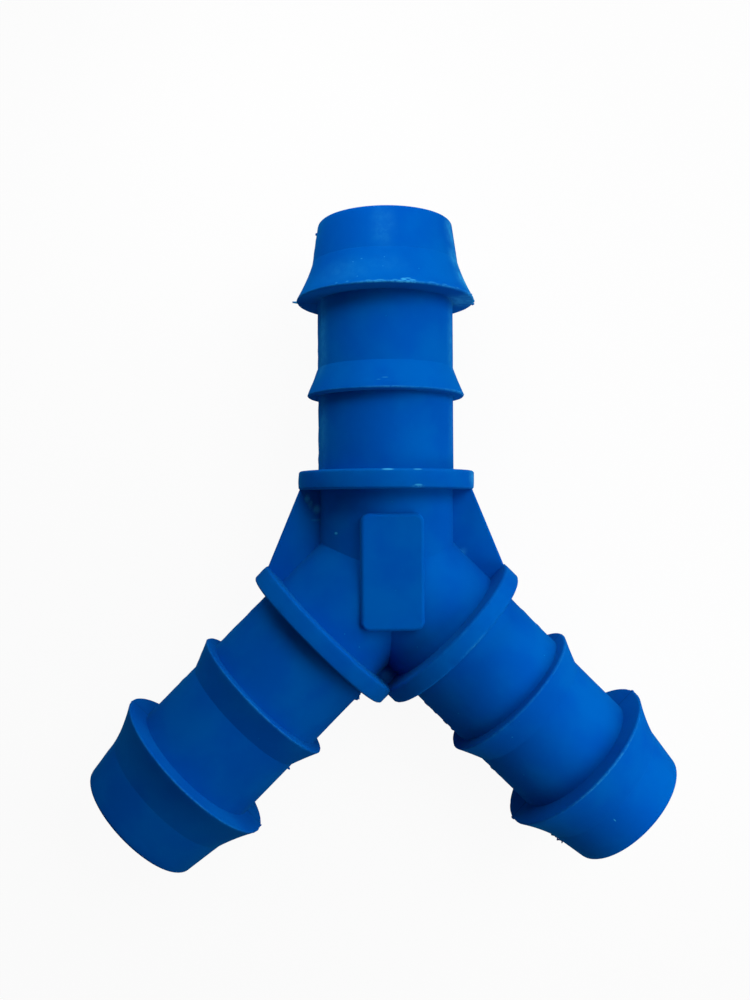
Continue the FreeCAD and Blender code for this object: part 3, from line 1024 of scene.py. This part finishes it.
def plastic_material(scene):
    """Satin blue moulded plastic: cloudy, finely pebbled and pale where it is scuffed, with
    painted sheen.
    """
    if MATERIAL in bpy.data.materials:
        return bpy.data.materials[MATERIAL]
    look = scene.connector_look
    sizes = scene.connector_sizes
    marks = scene.connector_marks
    material = bpy.data.materials.new(MATERIAL)
    material.use_nodes = True
    tree = material.node_tree
    shader = tree.nodes["Principled BSDF"]
    place = add_node(tree, "ShaderNodeTexCoord").outputs["Object"]
    rim_distance = attribute(tree, "rim_distance")

    streaks = between(tree, grain(tree, place, "streaks"), *STREAK_RANGE)
    skin = blend_colours(tree, streaks, (*look.blue, 1), (*look.pale_blue, 1))
    # The haze colour paints smudges and painted sheen: soft highlights and pale bands where the
    # sides turn away.
    smudges_and_sheen = smudges_and_painted_sheen(tree, place, sizes)
    hazy = blend_colours(tree, smudges_and_sheen, skin, (*look.haze, 1))
    # Scuffing, flecks and dust pale the colour, and so do painted highlights on collar rims and
    # the nose's crease and painted light on a shaded thread of flash.
    scuffs_and_highlights = scuffed_and_highlit_rims(tree, place, rim_distance, marks.rim_width)
    flecks_and_highlights = fleck_and_highlight_spots(tree, place, sizes)
    scuffs_flecks_and_highlights = combine(tree, "MAXIMUM", scuffs_and_highlights, flecks_and_highlights)
    pale = combine(tree, "MAXIMUM", scuffs_flecks_and_highlights, dust_specks(tree, place))
    marked = blend_colours(tree, pale, hazy, (*look.scuff_and_highlight, 1))
    seam = dark_seam(tree, place, rim_distance, hub_centre(sizes).z, marks)
    seamed = blend_colours(tree, seam, marked, (*Vector(look.blue) * SEAM_SHADE, 1))

    tree.links.new(seamed, shader.inputs["Base Color"])
    rough = skin_roughness(tree, place, pale, look.roughness)
    tree.links.new(rough, shader.inputs["Roughness"])
    tree.links.new(skin_relief(tree, place), shader.inputs["Normal"])
    shader.inputs["Metallic"].default_value = look.sparkle
    shader.inputs["Specular IOR Level"].default_value = look.specular
    shader.inputs["Specular Tint"].default_value = (*look.tint, 1)
    shader.inputs["Sheen Weight"].default_value = look.sheen
    shader.inputs["Sheen Roughness"].default_value = look.sheen_roughness
    shader.inputs["Sheen Tint"].default_value = (*look.sheen_tint, 1)
    return material


# ---------------------------------------------------------------- the stage

# The camera's sensor in millimetres, and the nearest that it sees.
SENSOR_WIDTH = 36
NEAREST_SEEN = 5 * MM
# From the floor's middle to its sides.
FLOOR_REACH = 1500 * MM
WHITE = (1, 1, 1, 1)


def add_camera(scene, studio, target):
    """Hang the camera over the connector."""
    data = bpy.data.cameras.new("camera")
    data.sensor_width = SENSOR_WIDTH
    data.lens = studio.camera_lens
    data.clip_start = NEAREST_SEEN
    camera = bpy.data.objects.new("camera", data)
    camera.rotation_mode = "ZYX"
    camera.rotation_euler = studio.camera_turn
    camera.location = target + Vector(studio.camera_offset)
    scene.collection.objects.link(camera)
    scene.camera = camera


# The lamps' azimuth and elevation in degrees, and their distance in metres.
LAMPS = {
    "right": (-30, 40, 0.08),
    "back": (105, 30, 0.08),
    "key": (45, 50, 0.28),
    "low": (30, 15, 0.18),
}
# A lamp's width as a share of its distance.
SPREAD = 0.6


def add_lamp(scene, name, level):
    """A round soft lamp that lights a white card facing it to a level, where 1 is white."""
    azimuth, elevation, distance = LAMPS[name]
    turn, tilt = math.radians(azimuth), math.radians(elevation)
    direction = Vector(
        (math.cos(tilt) * math.cos(turn), math.cos(tilt) * math.sin(turn), math.sin(tilt))
    )
    data = bpy.data.lights.new(f"{name}_lamp", "AREA")
    data.shape = "DISK"
    data.size = distance * SPREAD
    data.energy = level * (math.pi * distance) ** 2
    lamp = bpy.data.objects.new(f"{name}_lamp", data)
    low, high = (Vector(corner) for corner in cad_bounds)
    lamp.location = Vector((0, 0, (low.z + high.z) / 2)) + direction * distance
    lamp.rotation_euler = direction.to_track_quat("Z", "Y").to_euler()
    scene.collection.objects.link(lamp)


def seen_by_camera(tree):
    """1 for rays from the camera, otherwise 0."""
    return add_node(tree, "ShaderNodeLightPath").outputs["Is Camera Ray"]


def add_floor(studio):
    """A plain pale floor that looks white and keeps a soft shadow."""
    bm = bmesh.new()
    bmesh.ops.create_grid(bm, x_segments=1, y_segments=1, size=FLOOR_REACH)
    floor = new_object("floor", bm)
    material = bpy.data.materials.new("pale_floor")
    material.use_nodes = True
    tree = material.node_tree
    matt = tree.nodes["Principled BSDF"]
    matt.inputs["Base Color"].default_value = (*[studio.floor_grey] * 3, 1)
    matt.inputs["Specular IOR Level"].default_value = 0.0
    white = add_node(tree, "ShaderNodeEmission", {"Color": WHITE, "Strength": 1.0})
    share = combine(tree, "MULTIPLY", seen_by_camera(tree), studio.floor_glow)
    shaders = {0: share, 1: matt.outputs[0], 2: white.outputs[0]}
    mix = add_node(tree, "ShaderNodeMixShader", shaders)
    tree.links.new(mix.outputs[0], tree.nodes["Material Output"].inputs["Surface"])
    floor.data.materials.append(material)


def add_room(scene, studio):
    """White surroundings, seen as white and giving a low even light."""
    world = bpy.data.worlds.new("white_room")
    world.use_nodes = True
    tree = world.node_tree
    level = between(tree, seen_by_camera(tree), 0.0, 1.0, studio.room_level, 1.0)
    background = tree.nodes["Background"]
    background.inputs["Color"].default_value = WHITE
    tree.links.new(level, background.inputs["Strength"])
    scene.world = world


# ---------------------------------------------------------------- operators and panel


class CONNECTOR_OT_body(bpy.types.Operator):
    """Model the moulded body with its tails, collars, webs, plate and bores"""

    bl_idname = "connector.body"
    bl_label = "Model the body"

    def execute(self, context):
        sizes = context.scene.connector_sizes
        marks = context.scene.connector_marks
        body = model_body(sizes)
        body.name = body.data.name = "connector_body"
        body.data.shade_smooth()
        bm = bmesh.new()
        bm.from_mesh(body.data)
        mark_sharp_edges(bm, sizes)
        shape_marks(bm, sizes, marks)
        bm.to_mesh(body.data)
        bm.free()
        write_wear_and_painted_light(body.data, sizes)
        finish_piece(body, sizes, context)
        weighted = body.modifiers.new("Weighted normals", "WEIGHTED_NORMAL")
        weighted.keep_sharp = True
        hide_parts(NODE)
        return {"FINISHED"}


class CONNECTOR_OT_flash(bpy.types.Operator):
    """Add the lumps and threads of flash that the mould left on the parting line"""

    bl_idname = "connector.flash"
    bl_label = "Add the mould flash"

    def execute(self, context):
        sizes = context.scene.connector_sizes
        bm = bmesh.new()
        bm.verts.layers.float.new("wear_and_painted_light")
        for nub in NUBS:
            add_nub(bm, sizes, *nub)
        for thread in THREADS:
            add_thread(bm, sizes, *thread)
        bmesh.ops.recalc_face_normals(bm, faces=bm.faces)
        flash = new_object("mould_flash", bm)
        flash.data.shade_smooth()
        finish_piece(flash, sizes, context)
        return {"FINISHED"}


class CONNECTOR_OT_stage(bpy.types.Operator):
    """Set the floor, the lamps, the surroundings and the camera"""

    bl_idname = "connector.stage"
    bl_label = "Set the stage"

    def execute(self, context):
        scene = context.scene
        studio = scene.connector_studio
        add_camera(scene, studio, hub_centre(scene.connector_sizes))
        add_floor(studio)
        add_room(scene, studio)
        for name in LAMPS:
            add_lamp(scene, name, getattr(studio, f"{name}_level"))
        scene.view_settings.view_transform = "Standard"
        return {"FINISHED"}


class CONNECTOR_PT_panel(bpy.types.Panel):
    """Sizes, colours and pieces of the connector"""

    bl_idname = "CONNECTOR_PT_panel"
    bl_label = "Y Connector"
    bl_space_type = "VIEW_3D"
    bl_region_type = "UI"
    bl_category = "Y Connector"

    def draw(self, context):
        for operator in OPERATORS:
            self.layout.operator(operator.bl_idname)
        for name, group in GROUPS.items():
            box = self.layout.box()
            for size in group.__annotations__:
                box.prop(getattr(context.scene, name), size)


OPERATORS = (CONNECTOR_OT_body, CONNECTOR_OT_flash, CONNECTOR_OT_stage)
GROUPS = {
    "connector_sizes": CONNECTOR_PG_sizes,
    "connector_marks": CONNECTOR_PG_marks,
    "connector_look": CONNECTOR_PG_look,
    "connector_studio": CONNECTOR_PG_studio,
}


def register():
    for name, group in GROUPS.items():
        bpy.utils.register_class(group)
        setattr(bpy.types.Scene, name, PointerProperty(type=group))
    for cls in (*OPERATORS, CONNECTOR_PT_panel):
        bpy.utils.register_class(cls)


def unregister():
    for cls in (CONNECTOR_PT_panel, *reversed(OPERATORS)):
        bpy.utils.unregister_class(cls)
    for name, group in reversed(GROUPS.items()):
        delattr(bpy.types.Scene, name)
        bpy.utils.unregister_class(group)


def main():
    register()
    bpy.ops.connector.body()
    bpy.ops.connector.flash()
    bpy.ops.connector.stage()


if __name__ == "__main__":
    main()
